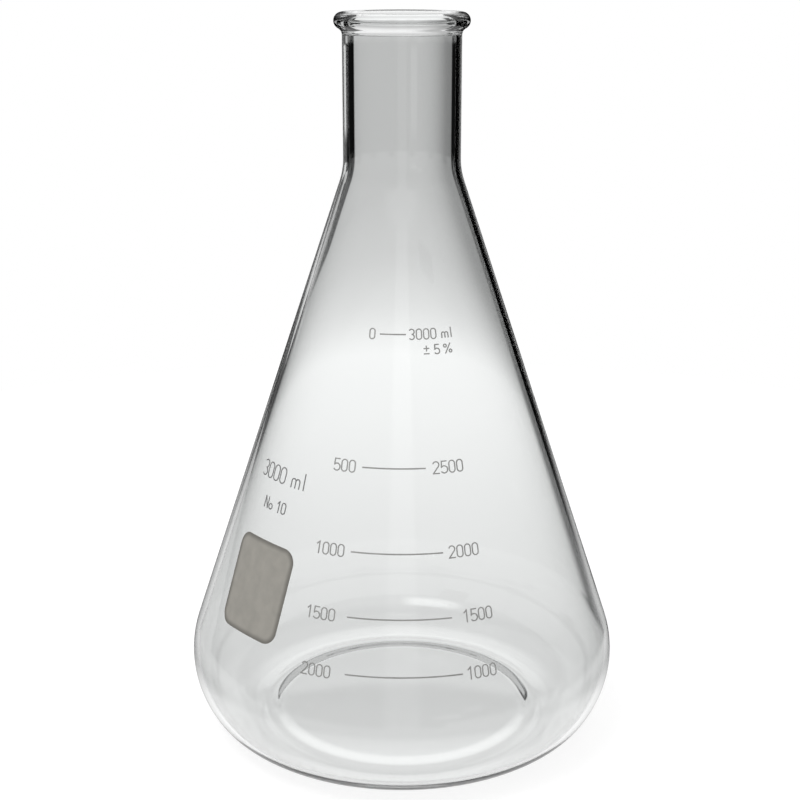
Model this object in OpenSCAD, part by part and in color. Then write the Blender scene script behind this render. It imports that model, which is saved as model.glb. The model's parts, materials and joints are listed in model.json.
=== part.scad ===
// Erlenmeyer flask with a narrow beaded neck, 3000 ml, with a fired enamel scale.
// Millimetres. +Z is the flask's axis, and Z = 0 is the surface that it stands on.
// The scale faces -Y, and +X is on the reader's right.

/* [Body] */
// Outside diameter at the widest point
body_d = 187; // [180:1:195]
// Overall height
body_h = 310; // [300:1:320]
// Wall thickness of the neck, shoulder, cone and upper heel
wall = 2.4; // [2:0.1:2.8]
// Angle between the cone's side and the axis
cone_angle = 18.6; // [18.2:0.1:19]
// Outside radius of the upper heel arc
heel_upper_r = 42; // [40:1:46]
// Outside radius of the lower heel arc
heel_lower_r = 26; // [24:1:28]
// Angle below the horizontal at which the two heel arcs meet
heel_join_angle = 31; // [27:1:35]

/* [Neck and rim] */
// Outside diameter of the neck
neck_d = 48.6; // [47:0.2:50]
// Outside radius of the curve from cone to neck
shoulder_r = 30; // [24:1:36]
// Radius of the rim bead's cross-section
bead_r = 3.4; // [3.2:0.1:3.8]
// Distance that the bead stands out from the neck
bead_proud = 3.4; // [3:0.1:3.8]
// Radius of the curve under the bead
bead_fillet_r = 3; // [2:0.5:4]

/* [Base] */
// Width of the flat ring that the flask stands on
foot_flat = 2; // [1.6:0.1:2.4]
// Radius of the roll inside the standing ring
foot_roll_r = 20; // [18:1:22]
// Radius of the curve between that roll and the pushed-up middle
foot_blend_r = 14; // [12:1:16]
// Steepest slope of the pushed-up base
punt_steep = 20; // [18:1:22]
// Slope at the edge of the shallow middle
punt_shallow = 3; // [2:0.5:4]
// Inside radius of the lower heel
floor_heel_r = 20; // [19:0.5:21]

/* [Scale] */
// Height of the 3000 ml line
line_3000_z = 187.4; // [184:0.2:190]
// Height of the 2500 ml line
line_2500_z = 136.9; // [134:0.2:140]
// Height of the 2000 ml line
line_2000_z = 104.9; // [102:0.2:108]
// Height of the 1500 ml line
line_1500_z = 80.4; // [78:0.2:83]
// Height of the 1000 ml line
line_1000_z = 59; // [58:0.2:62]
// Thickness of the fired enamel
enamel = 0.15; // [0.1:0.01:0.2]
// Height of the scale's numerals
numeral_h = 5.2; // [4.8:0.2:5.6]
// Height of the top row's numerals
top_numeral_h = 4.6; // [4.2:0.2:5]
// Stroke width of the numerals and lines
stroke = 0.5; // [0.5:0.05:0.55]

/* [Marks beside the scale] */
// Width of the marking spot
spot_w = 36; // [32:1:38]
// Height of the marking spot along the glass
spot_h = 40; // [36:1:42]
// Corner radius of the marking spot
spot_corner_r = 6; // [4:0.5:8]
// Direction of the marking spot, in degrees from the middle of the scale
spot_turn = -49.5; // [-55:0.5:-45]
// Height of the marking spot's middle
spot_z = 82.2; // [80:0.2:85]
// Height of the capacity mark's numerals
capacity_h = 7; // [6:1:7]
// Height of the capacity mark above the base
capacity_z = 127.5; // [126:0.5:131]
// Height of the stopper-size mark above the base
stopper_z = 115.3; // [112:0.1:117]
// Height of the stopper-size mark's numerals
stopper_h = 5; // [4.2:0.4:5.4]
// Height of the unit mark
unit_h = 4.2; // [3.6:0.2:4.6]
// Start of the unit mark, along the glass from the middle of the scale
unit_start = 15.5; // [15:0.5:18]
// Height of the accuracy mark's numerals
accuracy_h = 4.2; // [3.6:0.2:4.4]
// Distance of the accuracy mark below the top line
accuracy_drop = 6; // [6:0.5:9]
// Start of the accuracy mark, along the glass from the middle of the scale
accuracy_start = 8.5; // [6:0.5:10]

/* [Hidden] */
$fn = 96;

// Body: the heel's two arcs, the cone and the shoulder are tangent where they meet.
body_r = body_d / 2;
side_normal = [cos(cone_angle), sin(cone_angle)];
join_normal = [cos(heel_join_angle), -sin(heel_join_angle)];
upper_centre_z = heel_lower_r + (heel_upper_r - heel_lower_r) * sin(heel_join_angle);
upper_centre = [body_r - heel_upper_r, upper_centre_z];
lower_centre = upper_centre + (heel_upper_r - heel_lower_r) * join_normal;
side_offset = upper_centre * side_normal + heel_upper_r;

// Neck and shoulder
neck_r = neck_d / 2;
shoulder_x = neck_r + shoulder_r;
shoulder_centre = [shoulder_x, (side_offset + shoulder_r - shoulder_x * side_normal.x) / side_normal.y];

// Rim bead, and the curve under it
bead_centre = [neck_r + bead_proud - bead_r, body_h - bead_r];
fillet_x = neck_r + bead_fillet_r;
fillet_drop = sqrt(pow(bead_r + bead_fillet_r, 2) - pow(fillet_x - bead_centre.x, 2));
fillet_centre = [fillet_x, bead_centre.y - fillet_drop];
bead_join_angle = atan2(fillet_drop, bead_centre.x - fillet_x);

// Mouth: the bore and its rounded inner edge
mouth_r = neck_r - wall;
mouth_edge_r = bead_centre.x - mouth_r;

// Inside of the lower heel
floor_centre = upper_centre + (heel_upper_r - wall - floor_heel_r) * join_normal;

// Radius of the cone's outside at height z
function side_r(z) = (side_offset - z * side_normal.y) / side_normal.x;

// Angle about the axis that a length along the glass covers at height z
function turn_of(length, z) = length / side_r(z) * 180 / PI;

// ---- Glass ----

// Largest turn of one step of an arc, and the fewest steps that an arc has
arc_step = 4;
arc_least = 4;

// Points along an arc
function arc(centre, r, from, to) =
    let (steps = max(arc_least, ceil(abs(to - from) / arc_step)))
    [for (i = [0:steps]) let (a = from + (to - from) * i / steps) centre + r * [cos(a), sin(a)]];

// Pushed-up base from the axis to the standing ring: a shallow dome, a blend and a roll
function punt(roll_centre, roll_r, blend_r) =
    let (
        steep = [sin(punt_steep), cos(punt_steep)],
        shallow = [sin(punt_shallow), cos(punt_shallow)],
        blend_centre = roll_centre - (roll_r + blend_r) * steep,
        blend_end = blend_centre + blend_r * shallow,
        dome_r = blend_end.x / shallow.x,
        dome_centre = [0, blend_end.y - dome_r * shallow.y]
    )
    concat(
        arc(dome_centre, dome_r, 90, 90 - punt_shallow),
        arc(blend_centre, blend_r, 90 - punt_shallow, 90 - punt_steep),
        arc(roll_centre, roll_r, 270 - punt_steep, 270)
    );

// Heel, cone and shoulder, moved inwards by the inset
function body_side(inset, heel_centre, heel_r) = concat(
    arc(heel_centre, heel_r, -90, -heel_join_angle),
    arc(upper_centre, heel_upper_r - inset, -heel_join_angle, cone_angle),
    arc(shoulder_centre, shoulder_r + inset, 180 + cone_angle, 180)
);

function reversed(points) = [for (i = [len(points) - 1:-1:0]) points[i]];

outer_outline = concat(
    punt([lower_centre.x - foot_flat, foot_roll_r], foot_roll_r, foot_blend_r),
    body_side(0, lower_centre, heel_lower_r),
    arc(fillet_centre, bead_fillet_r, 180, bead_join_angle),
    arc(bead_centre, bead_r, bead_join_angle - 180, 90)
);

floor_roll_r = foot_roll_r - wall;
inner_outline = concat(
    punt([floor_centre.x, floor_centre.y - floor_heel_r + floor_roll_r], floor_roll_r, foot_blend_r + wall),
    body_side(wall, floor_centre, floor_heel_r),
    arc([bead_centre.x, body_h - mouth_edge_r], mouth_edge_r, 180, 90)
);

module glass_body() {
    color([0.93, 0.96, 0.96, 0.35])
        rotate_extrude($fn = 192)
            polygon(concat(outer_outline, reversed(inner_outline)));
}

// ---- Strokes and characters, one unit high and centred ----

digit_w = 0.56;
digit_pitch = 0.635;

// Straight stroke with square ends
module bar(from, to, t) {
    run = to - from;
    translate(from)
        rotate(atan2(run.y, run.x))
            translate([-t / 2, -t / 2])
                square([norm(run) + t, t]);
}

// Arc stroke from one angle to another
module bow(centre, r, from, to, t) {
    reach = 3 * r;
    steps = 6;
    translate(centre)
        intersection() {
            difference() {
                circle(r + t / 2);
                circle(r - t / 2);
            }
            polygon(concat(
                [[0, 0]],
                [for (i = [0:steps]) let (a = from + (to - from) * i / steps) reach * [cos(a), sin(a)]]
            ));
        }
}

module ring(centre, r, t) {
    translate(centre)
        difference() {
            circle(r + t / 2);
            circle(r - t / 2);
        }
}

module zero(t) {
    a = (digit_w - t) / 2;
    b = (1 - t) / 2;
    bow([0, b - a], a, 0, 180, t);
    bow([0, a - b], a, 180, 360, t);
    for (x = [-a, a])
        translate([x - t / 2, a - b])
            square([t, 2 * (b - a)]);
}

module one(t) {
    b = (1 - t) / 2;
    stem = digit_w / 10;
    bar([stem, -b], [stem, b], t);
    bar([stem, b], [-digit_w / 4, b - digit_w / 3], t);
}

module two(t) {
    a = (digit_w - t) / 2;
    b = (1 - t) / 2;
    turn = -35;
    bow([0, b - a], a, turn, 165, t);
    bar([a * cos(turn), b - a + a * sin(turn)], [-a, -b], t);
    bar([-a, -b], [a, -b], t);
}

module three(t) {
    r = (1 - t) / 4;
    bow([0, r], r, -90, 150, t);
    bow([0, -r], r, -150, 90, t);
}

module five(t) {
    a = (digit_w - t) / 2;
    b = (1 - t) / 2;
    r = 0.6 * b;
    turn = 140;
    bow([0, r - b], r, -150, turn, t);
    bar([r * cos(turn), r - b + r * sin(turn)], [-0.8 * a, b], t);
    bar([-0.8 * a, b], [0.8 * a, b], t);
}

module letter_m(t) {
    b = (1 - t) / 2;
    gap = 0.32;
    arch_z = -0.1;
    for (x = [-gap, 0, gap])
        bar([x, -b], [x, arch_z], t);
    for (x = [-gap / 2, gap / 2])
        bow([x, arch_z], gap / 2, 0, 180, t);
}

module letter_n_capital(t) {
    a = (digit_w - t) / 2;
    b = (1 - t) / 2;
    for (x = [-a, a])
        bar([x, -b], [x, b], t);
    bar([-a, b], [a, -b], t);
}

module plus_minus(t) {
    arm = 0.22;
    rise = 0.12;
    bar([-arm, rise], [arm, rise], t);
    bar([0, rise - arm], [0, rise + arm], t);
    bar([-arm, -0.38], [arm, -0.38], t);
}

module percent(t) {
    r = 0.14;
    away = 0.26;
    ring([-away, away], r, t);
    ring([away, -away], r, t);
    bar([-away, (t - 1) / 2], [away, (1 - t) / 2], t);
}

module character(c, t) {
    if (c == "0") zero(t);
    if (c == "1") one(t);
    if (c == "2") two(t);
    if (c == "3") three(t);
    if (c == "5") five(t);
    if (c == "m") letter_m(t);
    if (c == "l") bar([0, (t - 1) / 2], [0, (1 - t) / 2], t);
    if (c == "N") letter_n_capital(t);
    if (c == "o") ring([0, t / 2 - 0.28], 0.22, t);
    if (c == "±") plus_minus(t);
    if (c == "%") percent(t);
}

// ---- Enamel on the glass ----

// Section through a thin layer on the outside of the cone, between two heights
module skin_section(low, high) {
    grow = enamel / side_normal.x;
    polygon([
        [side_r(low), low],
        [side_r(low) + grow, low],
        [side_r(high) + grow, high],
        [side_r(high), high]
    ]);
}

// Enamel cut to a flat shape that faces the glass at one direction and height
module decal(turn, z, reach, depth) {
    intersection() {
        rotate_extrude($fn = 192)
            skin_section(z - reach, z + reach);
        rotate([0, 0, turn])
            translate([0, -side_r(z), z])
                rotate([90 - cone_angle, 0, 0])
                    translate([0, 0, -depth])
                        linear_extrude(2 * depth)
                            children();
    }
}

// Space that each character takes along the line, as a share of its height
function advance(c) = digit_pitch * (c == "m" ? 1.45 : c == "%" ? 1.3 : c == "l" || c == " " ? 0.6 : 1);
function run_to(words, i) = i == 0 ? 0 : run_to(words, i - 1) + advance(words[i - 1]);
function run_length(words) = run_to(words, len(words));

// A line of characters that follows the cone, starting at a length along the glass
module lettering(words, start, z, height) {
    for (i = [0:len(words) - 1])
        if (words[i] != " ") {
            middle = run_to(words, i) + advance(words[i]) / 2;
            decal(turn_of(start + height * middle, z), z, height, 1)
                scale(height)
                    character(words[i], stroke / height);
        }
}

// ---- Graduated scale ----

// Each row: height of the line, height of its numerals, and then lengths along the glass from the
// middle of the scale: end of the left numerals, both ends of the line, start of the right numerals
row_3000 = [line_3000_z, top_numeral_h, -10.4, -8.8, 1.6, 2.4];
row_2500 = [line_2500_z, numeral_h, -18.4, -15.9, 9.5, 12];
row_2000 = [line_2000_z, numeral_h, -23, -20.5, 16.5, 18.5];
row_1500 = [line_1500_z, numeral_h, -26.8, -22, 20, 24.3];
row_1000 = [line_1000_z, numeral_h, -28.7, -22.8, 24.5, 25.9];

module line(row) {
    z = row[0];
    color("darkgray")
        rotate([0, 0, turn_of(row[3], z) - 90])
            rotate_extrude(angle = turn_of(row[4] - row[3], z), $fn = 192)
                skin_section(z - stroke / 2, z + stroke / 2);
}

// Numerals to the right of a line: the volume from the bottom
module right(words, row) {
    color("darkgray")
        lettering(words, row[5], row[0], row[1]);
}

// Numerals to the left of a line: the volume down from the top line
module left(words, row) {
    color("darkgray")
        lettering(words, row[2] - row[1] * run_length(words), row[0], row[1]);
}

module line_3000() { line(row_3000); }
module line_2500() { line(row_2500); }
module line_2000() { line(row_2000); }
module line_1500() { line(row_1500); }
module line_1000() { line(row_1000); }

module right_3000() { right("3000", row_3000); }
module right_2500() { right("2500", row_2500); }
module right_2000() { right("2000", row_2000); }
module right_1500() { right("1500", row_1500); }
module right_1000() { right("1000", row_1000); }

module left_0() { left("0", row_3000); }
module left_500() { left("500", row_2500); }
module left_1000() { left("1000", row_2000); }
module left_1500() { left("1500", row_1500); }
module left_2000() { left("2000", row_1000); }

// ---- Other marks ----

// Unit after the top numeral
module unit_mark() {
    color("darkgray")
        lettering("ml", unit_start, line_3000_z, unit_h);
}

// Accuracy, under the top numeral
module accuracy_mark() {
    color("darkgray")
        lettering("± 5 %", accuracy_start, line_3000_z - accuracy_drop, accuracy_h);
}

// Text centred on the direction of the marking spot
module centred_mark(words, z, height) {
    middle = spot_turn * PI / 180 * side_r(z);
    color("gray")
        lettering(words, middle - height * run_length(words) / 2, z, height);
}

module capacity_mark() { centred_mark("3000 ml", capacity_z, capacity_h); }
module stopper_size_mark() { centred_mark("No 10", stopper_z, stopper_h); }

module rounded_rectangle(w, h, r) {
    square([w - 2 * r, h], center = true);
    square([w, h - 2 * r], center = true);
    for (x = [-1, 1], y = [-1, 1])
        translate([x * (w / 2 - r), y * (h / 2 - r)])
            circle(r);
}

// Rough enamel patch to write on
module marking_spot() {
    sag = pow(spot_w / 2, 2) / side_r(spot_z);
    color([0.64, 0.62, 0.58])
        decal(spot_turn, spot_z, spot_h / 2 + sag, 2 * sag)
            rounded_rectangle(spot_w, spot_h, spot_corner_r);
}

glass_body();
marking_spot();
line_3000();
line_2500();
line_2000();
line_1500();
line_1000();
right_3000();
right_2500();
right_2000();
right_1500();
right_1000();
left_0();
left_500();
left_1000();
left_1500();
left_2000();
unit_mark();
accuracy_mark();
capacity_mark();
stopper_size_mark();
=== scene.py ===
import json
import math

import bmesh
import bpy
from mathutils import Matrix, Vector


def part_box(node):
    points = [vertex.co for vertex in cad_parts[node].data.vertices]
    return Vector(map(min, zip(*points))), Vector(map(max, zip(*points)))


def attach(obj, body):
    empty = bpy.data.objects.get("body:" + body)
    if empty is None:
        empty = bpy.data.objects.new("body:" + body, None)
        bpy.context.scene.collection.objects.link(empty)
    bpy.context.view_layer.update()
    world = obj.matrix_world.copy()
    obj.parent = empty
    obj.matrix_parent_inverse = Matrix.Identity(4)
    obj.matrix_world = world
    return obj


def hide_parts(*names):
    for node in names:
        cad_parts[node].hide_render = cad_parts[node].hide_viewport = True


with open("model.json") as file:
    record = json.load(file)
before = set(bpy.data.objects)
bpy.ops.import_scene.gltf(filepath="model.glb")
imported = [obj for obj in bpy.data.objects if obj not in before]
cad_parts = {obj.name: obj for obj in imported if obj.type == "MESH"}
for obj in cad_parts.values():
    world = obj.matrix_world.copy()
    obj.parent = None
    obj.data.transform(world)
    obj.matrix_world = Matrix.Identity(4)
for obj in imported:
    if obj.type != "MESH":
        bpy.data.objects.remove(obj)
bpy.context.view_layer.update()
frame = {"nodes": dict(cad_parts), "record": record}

MM = 0.001


# ---------------------------------------------------------------- sizes, in millimetres and degrees

# The flask stands on z = 0 with its axis on z, and the reader of its scale stands at -y. The sizes up to
# FLOOR_HEEL_R are those of the part's own outline.
BODY_D = 187.0
CONE_ANGLE = 18.6
HEEL_UPPER_R = 42.0
HEEL_LOWER_R = 26.0
HEEL_JOIN_ANGLE = 31.0
NECK_D = 48.6
SHOULDER_R = 30.0
WALL = 2.4
BEAD_R = 3.4
BEAD_PROUD = 3.4
BEAD_FILLET_R = 3.0
FOOT_FLAT = 2.0
FOOT_ROLL_R = 20.0
FOOT_BLEND_R = 14.0
PUNT_STEEP = 20.0
PUNT_SHALLOW = 3.0
FLOOR_HEEL_R = 20.0
BODY_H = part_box("glass_body")[1].z / MM

# How far the cone swells into the enamel, and the heights over which the swelling comes and goes
ENAMEL_BED = 0.03
BED_COMES = (46, 56)
BED_GOES = (205, 235)

# The marking spot. The shade painted into its enamel at the rim starts and is full at these distances inside
# its edge.
SPOT_W = 36.0
SPOT_H = 40.0
SPOT_CORNER_R = 6.0
SPOT_TURN = -49.5
SPOT_Z = 82.2
SPOT_RIM_STARTS = 2.6
SPOT_RIM_FULL = 0.3

# How fine the glass mesh is: sides of a circle, degrees of an arc, and millimetres along a straight
GLASS_TURNS = 256
ARC_STEP = 1.5
SHOULDER_STEP = 1.0
DOME_STEP = 0.12
RIM_STEP = 6.0
FEWEST_ARC_STEPS = 4
STRAIGHT_STEP = 4.0


# ---------------------------------------------------------------- small tools

def turned(angle):
    """Unit vector at an angle in degrees, in the half plane of radius and height."""
    return Vector((math.cos(math.radians(angle)), math.sin(math.radians(angle))))


def arc(centre, r, start, end, step=ARC_STEP):
    """Points along an arc, both ends included."""
    steps = max(FEWEST_ARC_STEPS, math.ceil(abs(end - start) / step))
    return [Vector(centre) + r * turned(start + (end - start) * i / steps) for i in range(steps + 1)]


def straight(a, b):
    """Points between two points, both ends left out."""
    steps = max(1, round((b - a).length / STRAIGHT_STEP))
    return [a.lerp(b, i / steps) for i in range(1, steps)]


def eased(value, low, high):
    """Smooth step from 0 at low to 1 at high."""
    share = min(max((value - low) / (high - low), 0), 1)
    return share * share * (3 - 2 * share)


def piece(name, mesh, slot, *nodes):
    """Links a mesh as a piece that rides on the flask and stands for CAD nodes."""
    obj = bpy.data.objects.new(name, mesh)
    bpy.context.scene.collection.objects.link(obj)
    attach(obj, "root")
    if nodes:
        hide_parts(*nodes)
    return obj


# ---------------------------------------------------------------- the flask's outline

# Centres of the arcs, which follow from every arc and straight being tangent to the next one
up_normal = turned(CONE_ANGLE)
join_normal = turned(-HEEL_JOIN_ANGLE)
heel_grow = HEEL_UPPER_R - HEEL_LOWER_R
upper_centre_z = HEEL_LOWER_R + heel_grow * math.sin(math.radians(HEEL_JOIN_ANGLE))
upper_centre = Vector((BODY_D / 2 - HEEL_UPPER_R, upper_centre_z))
lower_centre = upper_centre + heel_grow * join_normal
side_offset = upper_centre.dot(up_normal) + HEEL_UPPER_R
neck_r = NECK_D / 2
shoulder_x = neck_r + SHOULDER_R
shoulder_centre = Vector((shoulder_x, (side_offset + SHOULDER_R - shoulder_x * up_normal.x) / up_normal.y))
bead_centre = Vector((neck_r + BEAD_PROUD - BEAD_R, BODY_H - BEAD_R))
fillet_x = neck_r + BEAD_FILLET_R
fillet_drop = math.sqrt((BEAD_R + BEAD_FILLET_R) ** 2 - (fillet_x - bead_centre.x) ** 2)
fillet_centre = Vector((fillet_x, bead_centre.y - fillet_drop))
bead_join = math.degrees(math.atan2(fillet_drop, bead_centre.x - fillet_x))
mouth_edge_r = bead_centre.x - (neck_r - WALL)
floor_centre = upper_centre + (HEEL_UPPER_R - WALL - FLOOR_HEEL_R) * join_normal


def side_r(z):
    """Radius of the cone's outside at a height."""
    return (side_offset - z * up_normal.y) / up_normal.x


def punt(roll_centre, roll_r, blend_r):
    """Pushed-up base, from the axis to the standing ring."""
    steep = Vector((math.sin(math.radians(PUNT_STEEP)), math.cos(math.radians(PUNT_STEEP))))
    shallow = Vector((math.sin(math.radians(PUNT_SHALLOW)), math.cos(math.radians(PUNT_SHALLOW))))
    blend_centre = Vector(roll_centre) - (roll_r + blend_r) * steep
    blend_end = blend_centre + blend_r * shallow
    dome_r = blend_end.x / shallow.x
    dome_centre = (0, blend_end.y - dome_r * shallow.y)
    dome = arc(dome_centre, dome_r, 90, 90 - PUNT_SHALLOW, DOME_STEP)
    blend = arc(blend_centre, blend_r, 90 - PUNT_SHALLOW, 90 - PUNT_STEEP)
    roll = arc(roll_centre, roll_r, 270 - PUNT_STEEP, 270)
    return dome + blend[1:] + roll[1:]


def body_side(inset, heel_centre, heel_r):
    """Heel, cone and shoulder, moved inwards by the inset."""
    heel = arc(heel_centre, heel_r, -90, -HEEL_JOIN_ANGLE)
    heel += arc(upper_centre, HEEL_UPPER_R - inset, -HEEL_JOIN_ANGLE, CONE_ANGLE)[1:]
    shoulder = arc(shoulder_centre, SHOULDER_R + inset, 180 + CONE_ANGLE, 180, SHOULDER_STEP)
    return heel + straight(heel[-1], shoulder[0]) + shoulder


def with_enamel_bed(point):
    """Swells the cone by a few hundredths of a millimetre, so that the enamel sits in it with no air gap."""
    swell = ENAMEL_BED * eased(point.y, *BED_COMES) * (1 - eased(point.y, *BED_GOES))
    return Vector((point.x + swell, point.y))


def glass_outline():
    """The closed section of the glass, from the axis under the base to the axis inside it."""
    outer = punt((lower_centre.x - FOOT_FLAT, FOOT_ROLL_R), FOOT_ROLL_R, FOOT_BLEND_R)
    outer += body_side(0, lower_centre, HEEL_LOWER_R)
    fillet = arc(fillet_centre, BEAD_FILLET_R, 180, bead_join, RIM_STEP)
    outer += straight(outer[-1], fillet[0]) + fillet
    outer += arc(bead_centre, BEAD_R, bead_join - 180, 90, RIM_STEP)[1:]
    roll_r = FOOT_ROLL_R - WALL
    inner = punt((floor_centre.x, floor_centre.y - FLOOR_HEEL_R + roll_r), roll_r, FOOT_BLEND_R + WALL)
    inner += body_side(WALL, floor_centre, FLOOR_HEEL_R)[1:]
    edge = arc((bead_centre.x, BODY_H - mouth_edge_r), mouth_edge_r, 180, 90, RIM_STEP)
    inner += straight(inner[-1], edge[0]) + edge[:-1]
    return [with_enamel_bed(point) for point in outer] + inner[::-1]


# ---------------------------------------------------------------- glass body

def lathe(name, outline, turns):
    """Mesh of revolution whose outline starts and ends on the axis."""
    bm = bmesh.new()
    first = bm.verts.new((0, 0, outline[0].y * MM))
    last = bm.verts.new((0, 0, outline[-1].y * MM))
    rings = []
    for point in outline[1:-1]:
        ring = []
        for i in range(turns):
            angle = 2 * math.pi * i / turns
            x = point.x * MM * math.cos(angle)
            y = point.x * MM * math.sin(angle)
            ring.append(bm.verts.new((x, y, point.y * MM)))
        rings.append(ring)
    for i in range(turns):
        j = (i + 1) % turns
        bm.faces.new((first, rings[0][j], rings[0][i]))
        bm.faces.new((last, rings[-1][i], rings[-1][j]))
        for low, high in zip(rings, rings[1:]):
            bm.faces.new((low[i], low[j], high[j], high[i]))
    bmesh.ops.recalc_face_normals(bm, faces=bm.faces)
    for face in bm.faces:
        face.smooth = True
    mesh = bpy.data.meshes.new(name)
    bm.to_mesh(mesh)
    bm.free()
    return mesh


glass_mesh = lathe("glass_body_fine", glass_outline(), GLASS_TURNS)
glass = piece("glass_body_fine", glass_mesh, "glass", "glass_body")


# ---------------------------------------------------------------- shader graphs

class Graph:
    """Short calls for the nodes of one shader. A value is a number, a colour, a vector or an output."""

    # Heights go into a colour ramp divided by this, so that they stay under 1 there
    HEADROOM = 2.0

    def __init__(self, tree):
        self.tree = tree

    def put(self, socket, value):
        """Sets an input, or links an output to it."""
        if isinstance(value, (int, float, tuple)):
            socket.default_value = value
        else:
            self.tree.links.new(value, socket)

    def fill(self, node, inputs):
        """Puts values into a node's inputs by name."""
        for name, value in inputs.items():
            self.put(node.inputs[name], value)

    def node(self, kind, inputs=None, **settings):
        """New node with its settings and inputs."""
        made = self.tree.nodes.new("ShaderNode" + kind)
        for name, value in settings.items():
            setattr(made, name, value)
        self.fill(made, inputs or {})
        return made

    def calc(self, operation, *values):
        """One step of arithmetic."""
        made = self.node("Math", operation=operation)
        for socket, value in zip(made.inputs, values):
            self.put(socket, value)
        return made.outputs[0]

    def plus(self, a, b):
        return self.calc("ADD", a, b)

    def minus(self, a, b):
        return self.calc("SUBTRACT", a, b)

    def times(self, a, b):
        return self.calc("MULTIPLY", a, b)

    def most(self, a, b):
        return self.calc("MAXIMUM", a, b)

    def dot(self, a, b):
        """Scalar product of two vectors."""
        made = self.node("VectorMath", operation="DOT_PRODUCT")
        self.put(made.inputs[0], a)
        self.put(made.inputs[1], b)
        return made.outputs["Value"]

    def mix(self, share, a, b):
        """Number between a, at share 0, and b, at share 1."""
        return self.plus(self.times(self.minus(1.0, share), a), self.times(share, b))

    def ramp(self, value, low, high, to_low=0.0, to_high=1.0):
        """Smooth step of a value from one range to another."""
        limits = {"From Min": low, "From Max": high, "To Min": to_low, "To Max": to_high}
        made = self.node("MapRange", {"Value": value, **limits}, interpolation_type="SMOOTHSTEP")
        return made.outputs["Result"]

    def above(self, value, edge, soft):
        """0 below an edge and 1 above it, over twice the softness."""
        return self.ramp(self.minus(value, edge), -soft, soft)

    def below(self, value, edge, soft):
        """1 below an edge and 0 above it, over twice the softness."""
        return self.minus(1.0, self.above(value, edge, soft))

    def band(self, value, low, high, soft):
        """1 between two values and 0 outside them, with soft edges."""
        return self.minus(self.above(value, low, soft), self.above(value, high, soft))

    def patch(self, across, up, left, right, low, high, side_soft, end_soft):
        """1 inside a rectangle and 0 outside it, with soft edges."""
        return self.times(self.band(up, low, high, end_soft), self.band(across, left, right, side_soft))

    def degrees(self, radians):
        """An angle in degrees."""
        return self.times(radians, 180 / math.pi)

    def folded(self, angle, period):
        """An angle less its nearest multiple of a period."""
        turns = self.calc("DIVIDE", angle, period)
        return self.times(self.minus(turns, self.calc("ROUND", turns)), period)

    def gradient(self, value, stops):
        """Straight lines between (place, height) stops."""
        low, high = stops[0][0], stops[-1][0]
        share = self.calc("DIVIDE", self.minus(value, low), high - low)
        made = self.node("ValToRGB", {"Fac": share})
        made.color_ramp.interpolation = "LINEAR"
        points = made.color_ramp.elements
        while len(points) < len(stops):
            points.new(0.5)
        for point, (place, _) in zip(points, stops):
            point.position = (place - low) / (high - low)
        for point, (_, height) in zip(points, stops):
            point.color = (*[height / self.HEADROOM] * 3, 1)
        return self.times(made.outputs[0], self.HEADROOM)


def new_material(name):
    """Material with its graph and its shader."""
    mat = bpy.data.materials.new(name)
    mat.use_nodes = True
    return mat, Graph(mat.node_tree), mat.node_tree.nodes["Principled BSDF"]


def cleared_graph(owner):
    """Empty graph of a material or a world."""
    owner.use_nodes = True
    owner.node_tree.nodes.clear()
    return Graph(owner.node_tree)


def dress(obj, mat):
    """Gives every slot of an object the one material."""
    if not obj.material_slots:
        obj.data.materials.append(mat)
    for slot in obj.material_slots:
        slot.material = mat


# ---------------------------------------------------------------- materials

GLASS_COLOUR = (0.982, 0.99, 0.987, 1)
GLASS_IOR = 1.473

# Blown glass is faintly rippled, and its ripples are drawn out in height. Noise scales are in features a
# metre, and depths are in metres.
RIPPLE_STRETCH = (1, 1, 0.25)
RIPPLE_SCALE = 18
RIPPLE_DEPTH = 0.0006
RIPPLE_STRENGTH = 0.12

# Enamel: the mottle between its two colours, the grain of its surface, and how dark the shade painted at the
# spot's rim is
MOTTLE_SCALE = 220
MOTTLE_SPREAD = (0.3, 0.7)
GRAIN_SCALE = 2600
GRAIN_DEPTH = 0.00004
GRAIN_STRENGTH = 0.35
ROUGHNESS_SPREAD = 0.08
SPOT_RIM_PAINTED_SHADE = 0.55


def glass_material():
    """Clear borosilicate glass, smooth and faintly rippled."""
    mat, g, shader = new_material("borosilicate_glass")
    place = g.node("TexCoord").outputs["Object"]
    stretched = g.node("Mapping", {"Vector": place, "Scale": RIPPLE_STRETCH})
    ripple = g.node("TexNoise", {"Vector": stretched.outputs[0], "Scale": RIPPLE_SCALE, "Detail": 1})
    depth = {"Distance": RIPPLE_DEPTH, "Strength": RIPPLE_STRENGTH}
    bump = g.node("Bump", {"Height": ripple.outputs["Fac"], **depth})
    g.fill(shader, {
        "Base Color": GLASS_COLOUR,
        "Roughness": 0.0,
        "IOR": GLASS_IOR,
        "Transmission Weight": 1.0,
        "Normal": bump.outputs["Normal"],
    })
    return mat


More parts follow.
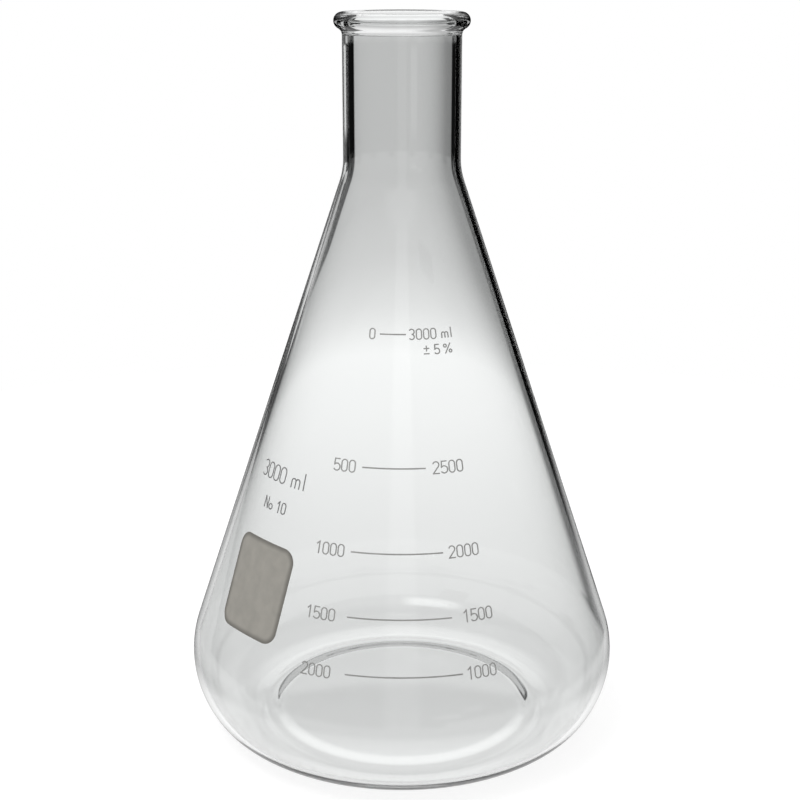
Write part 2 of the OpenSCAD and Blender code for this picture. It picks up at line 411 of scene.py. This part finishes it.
def spot_rim_painted_shade(g, place):
    """0 in the marking spot's middle and 1 at its edge, where shade is painted into the enamel."""
    turn, tilt = math.radians(SPOT_TURN), math.radians(CONE_ANGLE)
    outward = Vector((math.sin(turn), -math.cos(turn), 0))
    middle = outward * side_r(SPOT_Z) * MM + Vector((0, 0, SPOT_Z * MM))
    right = Vector((math.cos(turn), math.sin(turn), 0))
    up = Vector((0, 0, math.cos(tilt))) - outward * math.sin(tilt)
    past = []
    for axis, size in ((right, SPOT_W), (up, SPOT_H)):
        along = g.minus(g.dot(place, tuple(axis / MM)), middle.dot(axis) / MM)
        past.append(g.minus(g.calc("ABSOLUTE", along), size / 2 - SPOT_CORNER_R))
    corner = [g.calc("POWER", g.most(distance, 0.0), 2.0) for distance in past]
    outside = g.calc("SQRT", g.plus(*corner))
    inside = g.calc("MINIMUM", g.most(*past), 0.0)
    return g.ramp(g.plus(outside, inside), SPOT_CORNER_R - SPOT_RIM_STARTS, SPOT_CORNER_R - SPOT_RIM_FULL)


def enamel_material(name, dark, light, roughness, rim):
    """Fired ceramic enamel: mottled and matt, with an orange-peel surface, and with shade painted in where
    rim gives 1.
    """
    mat, g, shader = new_material(name)
    place = g.node("TexCoord").outputs["Object"]
    mottle = g.node("TexNoise", {"Vector": place, "Scale": MOTTLE_SCALE, "Detail": 5})
    tones = g.node("ValToRGB", {"Fac": mottle.outputs["Fac"]})
    for stop, at, colour in zip(tones.color_ramp.elements, MOTTLE_SPREAD, (dark, light)):
        stop.position = at
        stop.color = (*colour, 1)
    colour = tones.outputs["Color"]
    # Painted shade: the enamel's colour is darkened towards the spot's rim, where rim gives 1
    if rim:
        shade = g.mix(rim(g, place), 1.0, SPOT_RIM_PAINTED_SHADE)
        shaded = g.node("VectorMath", operation="SCALE")
        g.put(shaded.inputs[0], colour)
        g.put(shaded.inputs["Scale"], shade)
        colour = shaded.outputs[0]
    grain = g.node("TexNoise", {"Vector": place, "Scale": GRAIN_SCALE, "Detail": 3}).outputs["Fac"]
    spread = {"To Min": roughness - ROUGHNESS_SPREAD, "To Max": roughness + ROUGHNESS_SPREAD}
    rough = g.node("MapRange", {"Value": grain, **spread})
    bump = g.node("Bump", {"Height": grain, "Distance": GRAIN_DEPTH, "Strength": GRAIN_STRENGTH})
    g.fill(shader, {
        "Base Color": colour,
        "Roughness": rough.outputs["Result"],
        "Normal": bump.outputs["Normal"],
    })
    return mat


# Material slot, darkest and lightest colour, roughness, and what paints shade at the rim
ENAMELS = (
    ("scale_enamel", (0.33, 0.33, 0.32), (0.42, 0.42, 0.41), 0.6, None),
    ("spot_enamel", (0.38, 0.365, 0.33), (0.43, 0.41, 0.37), 0.8, spot_rim_painted_shade),
    ("capacity_enamel", (0.2, 0.2, 0.2), (0.27, 0.27, 0.27), 0.6, None),
)

dress(glass, glass_material())
enamels = {slot: enamel_material(slot, *look) for slot, *look in ENAMELS}
for part in frame["record"]["subparts"]:
    if part["material_slot"] in enamels:
        dress(frame["nodes"][part["node"]], enamels[part["material_slot"]])


# ---------------------------------------------------------------- light round the flask

# What the glass sees depends on the way that a ray leaves it, in degrees: up from the horizon, and across
# to the right of straight behind, less its nearest multiple of a period. So the same panels and cards stand
# all round the flask, and it looks through light from every side.
PANEL_PERIOD = 45.0
BOUNCED_PERIOD = 180.0

# Glow of the panels by height
PANEL_GLOW = (
    (-90, 0.62), (-75, 0.78), (-60, 0.95), (-37, 1.05), (-31.5, 0.94), (-29.5, 0.81),
    (-27, 0.8), (-25.8, 0.77), (-24, 0.84), (-19.5, 0.95), (-17, 1.02), (-14.6, 1.06),
    (-13, 0.85), (-11, 0.69), (-8.5, 0.6), (10, 0.59), (20, 0.86), (32, 0.98),
)

# Black cards in front of each panel: leftmost and rightmost, lowest and highest, softness of the sides and of
# the ends. PAST_PANEL lies past the panel's own edge, so a card has no side there.
PAST_PANEL = 90.0
CARDS = (
    (-PAST_PANEL, -12.5, -8.0, 15.0, 0.8, 0.4),
    (-PAST_PANEL, -21.0, -20.5, -6.0, 1.0, 0.6),
    (14.5, PAST_PANEL, -21.5, 27.0, 2.2, 1.0),
)

# Each panel dims by this share towards its right, over these places and heights
DUSK = 0.5
DUSK_COMES = (1.0, 10.0)
DUSK_HEIGHTS = (-16.0, -9.0)

# A ray that has bounced in the wall sees dark cards at both sides: where they start and how softly, where the
# left one ends below and above a height, and the heights over which both come and go
SIDE_CARD = 9.0
SIDE_CARD_SOFT = 2.0
LEFT_ENDS = (-23.0, -95.0)
LEFT_END_MOVES = (-10.5, -9.5)
SIDE_CARDS_COME = (-19.5, -12.5)
SIDE_CARDS_GO = (26.0, 28.0)

# Strips of light over the left one: leftmost and rightmost, lowest and highest, and glow
STRIPES = (
    (-31.0, -18.0, -6.5, -3.0, 0.8),
    (-42.0, -31.5, -2.6, 3.3, 0.6),
    (-31.0, -16.0, -9.5, 1.0, 0.14),
)
STRIPE_SIDE_SOFT = 1.2
STRIPE_END_SOFT = 0.4

# A ray that has bounced inside the flask sees a dark room, and a light wall between these heights that has a
# gap where the neck looks. The wall's half width is the sum of two steps: from a height, to a height, and
# width at both.
ROOM_DARK = 0.02
ROOM_LIGHT = 0.6
WALL_HEIGHTS = (-70.0, 26.0)
WALL_END_SOFT = 1.0
WALL_GAP = (-8.6, -2.4)
WALL_GAP_SOFT = 0.3
WALL_NARROWS = (-18.0, -14.0, 30.0, 16.0)
WALL_WIDENS = (-3.0, 0.0, 0.0, 8.0)
WALL_SIDE_SOFT = 6.0

# One window behind the reader, at the left: leftmost and rightmost, lowest and highest, softness of the sides
# and of the ends
WINDOW = (-176.0, -142.0, 30.0, 43.0, 8.0, 4.0)
WINDOW_GLOW = 3.0

# What a surface mirrors on its outside, and what lights matt surfaces: from a height, to a height, and glow
# at both
MIRRORED_ABOVE = (0.0, 45.0, 0.005, 0.8)
MIRRORED_BELOW = (-31.0, -23.0, 0.75, 0.0)
AMBIENT = (-10.0, 50.0, 0.35, 0.75)


def direct_light(g, side, up, panel):
    """What a ray sees that was only bent: the panels, behind their cards."""
    dark = g.times(g.ramp(side, *DUSK_COMES, 0.0, DUSK), g.ramp(up, *DUSK_HEIGHTS))
    for card in CARDS:
        dark = g.most(dark, g.patch(side, up, *card))
    return g.times(panel, g.minus(1.0, dark))


def bounced_light(g, side, up, panel):
    """What a ray sees that bounced in the wall: a panel between dark cards, and strips over the left one."""
    left_end = g.ramp(up, *LEFT_END_MOVES, *LEFT_ENDS)
    left_card = g.band(side, left_end, -SIDE_CARD, SIDE_CARD_SOFT)
    heights = g.times(g.ramp(up, *SIDE_CARDS_COME), g.ramp(up, *SIDE_CARDS_GO, 1.0, 0.0))
    dark = g.times(g.most(g.above(side, SIDE_CARD, SIDE_CARD_SOFT), left_card), heights)
    light = g.times(panel, g.minus(1.0, dark))
    for *place, glow in STRIPES:
        strip = g.patch(side, up, *place, STRIPE_SIDE_SOFT, STRIPE_END_SOFT)
        light = g.plus(light, g.times(strip, glow))
    return light


def inner_light(g, azimuth, side, up):
    """What a ray sees that bounced inside the flask: the room's light wall, and the window."""
    heights = g.minus(g.band(up, *WALL_HEIGHTS, WALL_END_SOFT), g.band(up, *WALL_GAP, WALL_GAP_SOFT))
    half_width = g.plus(g.ramp(up, *WALL_NARROWS), g.ramp(up, *WALL_WIDENS))
    wall = g.times(g.below(g.calc("ABSOLUTE", side), half_width, WALL_SIDE_SOFT), heights)
    window = g.patch(azimuth, up, *WINDOW)
    return g.plus(g.mix(wall, ROOM_DARK, ROOM_LIGHT), g.times(window, WINDOW_GLOW))


def studio_world():
    """White to the eye, and to the glass a room of light panels and black cards."""
    world = bpy.data.worlds.new("studio")
    bpy.context.scene.world = world
    g = cleared_graph(world)
    x, y, z = g.node("SeparateXYZ", {"Vector": g.node("TexCoord").outputs["Generated"]}).outputs
    azimuth = g.degrees(g.calc("ARCTAN2", x, y))
    up = g.degrees(g.calc("ARCSINE", z))
    side = g.folded(azimuth, PANEL_PERIOD)
    panel = g.gradient(up, PANEL_GLOW)
    direct = direct_light(g, side, up, panel)
    bounced = bounced_light(g, g.folded(azimuth, BOUNCED_PERIOD), up, panel)
    inner = inner_light(g, azimuth, side, up)

    # The two depths count a ray's reflections so far and the glass surfaces that it has crossed
    path = g.node("LightPath").outputs
    has_bounced = g.calc("GREATER_THAN", path["Glossy Depth"], 0.5)
    was_inside = g.times(has_bounced, g.calc("GREATER_THAN", path["Transmission Depth"], 2.5))
    through = g.mix(was_inside, g.mix(has_bounced, direct, bounced), inner)
    mirrored = g.plus(g.ramp(up, *MIRRORED_ABOVE), g.ramp(up, *MIRRORED_BELOW))
    is_mirrored = g.calc("GREATER_THAN", path["Is Glossy Ray"], path["Is Transmission Ray"])
    lit = g.times(path["Is Transmission Ray"], through)
    lit = g.plus(lit, g.times(is_mirrored, mirrored))
    lit = g.plus(lit, g.times(path["Is Diffuse Ray"], g.ramp(up, *AMBIENT)))
    lit = g.plus(lit, path["Is Camera Ray"])
    background = g.node("Background", {"Color": (1, 1, 1, 1), "Strength": lit})
    g.node("OutputWorld", {"Surface": background.outputs[0]})


studio_world()


# ---------------------------------------------------------------- table and lamp, in metres and watts

FLOOR_R = 0.61
FLOOR_TURNS = 96
FLOOR_PAINT = (0.25, 0.25, 0.25, 1)
FLOOR_GLOW = 0.1
FLOOR_GLOW_SEEN = 0.86


def disc(name, r, turns):
    """Flat round mesh at z = 0."""
    bm = bmesh.new()
    bmesh.ops.create_circle(bm, cap_ends=True, radius=r, segments=turns)
    mesh = bpy.data.meshes.new(name)
    bm.to_mesh(mesh)
    bm.free()
    return mesh


def floor_material():
    """White table. The glass looks past it to the light panels, as if the table were lit from below."""
    mat = bpy.data.materials.new("floor")
    g = cleared_graph(mat)
    path = g.node("LightPath").outputs
    glow = g.node("Emission", {"Strength": g.mix(path["Is Camera Ray"], FLOOR_GLOW, FLOOR_GLOW_SEEN)})
    paint = g.node("BsdfDiffuse", {"Color": FLOOR_PAINT})
    table = g.node("AddShader")
    g.put(table.inputs[0], glow.outputs[0])
    g.put(table.inputs[1], paint.outputs[0])
    seen = g.node("MixShader")
    g.put(seen.inputs[0], g.most(path["Is Transmission Ray"], path["Is Glossy Ray"]))
    g.put(seen.inputs[1], table.outputs[0])
    g.put(seen.inputs[2], g.node("BsdfTransparent").outputs[0])
    g.node("OutputMaterial", {"Surface": seen.outputs[0]})
    return mat


def soft_light(name, place, aim, size, power):
    """Round lamp at a place, turned to its aim, that the glass doesn't show."""
    data = bpy.data.lights.new(name, "AREA")
    data.shape = "DISK"
    data.size = size
    data.energy = power
    obj = bpy.data.objects.new(name, data)
    obj.location = place
    obj.rotation_mode = "QUATERNION"
    obj.rotation_quaternion = (Vector(aim) - Vector(place)).to_track_quat("-Z", "Y")
    obj.visible_glossy = False
    obj.visible_transmission = False
    bpy.context.scene.collection.objects.link(obj)


floor = bpy.data.objects.new("floor", disc("floor", FLOOR_R, FLOOR_TURNS))
bpy.context.scene.collection.objects.link(floor)
dress(floor, floor_material())
soft_light("top_light", place=(-0.5, -0.5, 1.5), aim=(0, 0, 0.1), size=0.7, power=10)


# ---------------------------------------------------------------- camera, in metres and radians

CAMERA_BACK = 0.626
CAMERA_UP = 0.3325
CAMERA_PITCH = 0.2878
CAMERA_YAW = 0.0013
SENSOR_W = 36
FOCAL_IN_WIDTHS = 1.8865

camera_data = bpy.data.cameras.new("camera")
camera_data.sensor_width = SENSOR_W
camera_data.lens = SENSOR_W * FOCAL_IN_WIDTHS
camera = bpy.data.objects.new("camera", camera_data)
camera.location = (0, -CAMERA_BACK, CAMERA_UP)
camera.rotation_euler = (math.pi / 2 - CAMERA_PITCH, 0, CAMERA_YAW)
bpy.context.scene.collection.objects.link(camera)
bpy.context.scene.camera = camera

# A ray crosses many glass surfaces on its way through the rim and the neck
THROUGH_BOUNCES = 24
GLOSSY_BOUNCES = 16

bpy.context.scene.view_settings.view_transform = "Standard"
bpy.context.scene.cycles.max_bounces = THROUGH_BOUNCES
bpy.context.scene.cycles.transmission_bounces = THROUGH_BOUNCES
bpy.context.scene.cycles.glossy_bounces = GLOSSY_BOUNCES
